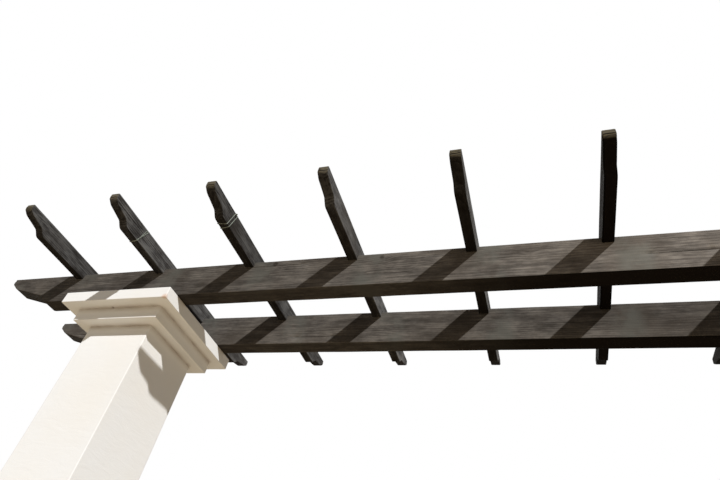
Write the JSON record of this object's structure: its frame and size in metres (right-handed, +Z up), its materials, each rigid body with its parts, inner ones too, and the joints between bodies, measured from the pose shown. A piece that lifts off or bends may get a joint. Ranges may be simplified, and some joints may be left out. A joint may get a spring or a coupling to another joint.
{
  "type": "wooden pergola",
  "caption": "Open timber pergola: shaped rafters laid across parallel beams on a row of white rendered masonry piers, to walk beneath.",
  "frame": {"origin": "on the ground, at the middle of the row of piers and midway between the beams", "axes": "+X along the row of piers, +Y across the row from the near side to the far side, +Z up"},
  "size_m": [9.5, 1.636, 3.322],
  "materials": {
    "pier_render": "white painted render",
    "beam_timber": "dark stained, weathered grey",
    "rafter_timber": "dark stained, weathered grey"
  },
  "bodies": {
    "root": {"pier_1_shaft": "pier_render", "pier_1_corbel": "pier_render", "pier_1_slab": "pier_render", "pier_2_shaft": "pier_render", "pier_2_corbel": "pier_render", "pier_2_slab": "pier_render", "pier_3_shaft": "pier_render", "pier_3_corbel": "pier_render", "pier_3_slab": "pier_render", "near_beam_1": "beam_timber", "near_beam_2": "beam_timber", "far_beam_1": "beam_timber", "far_beam_2": "beam_timber", "rafter_1": "rafter_timber", "rafter_2": "rafter_timber", "rafter_3": "rafter_timber", "rafter_4": "rafter_timber", "rafter_5": "rafter_timber", "rafter_6": "rafter_timber", "rafter_7": "rafter_timber", "rafter_8": "rafter_timber", "rafter_9": "rafter_timber", "rafter_10": "rafter_timber", "rafter_11": "rafter_timber", "rafter_12": "rafter_timber", "rafter_13": "rafter_timber", "rafter_14": "rafter_timber", "rafter_15": "rafter_timber"}
  },
  "joints": []
}
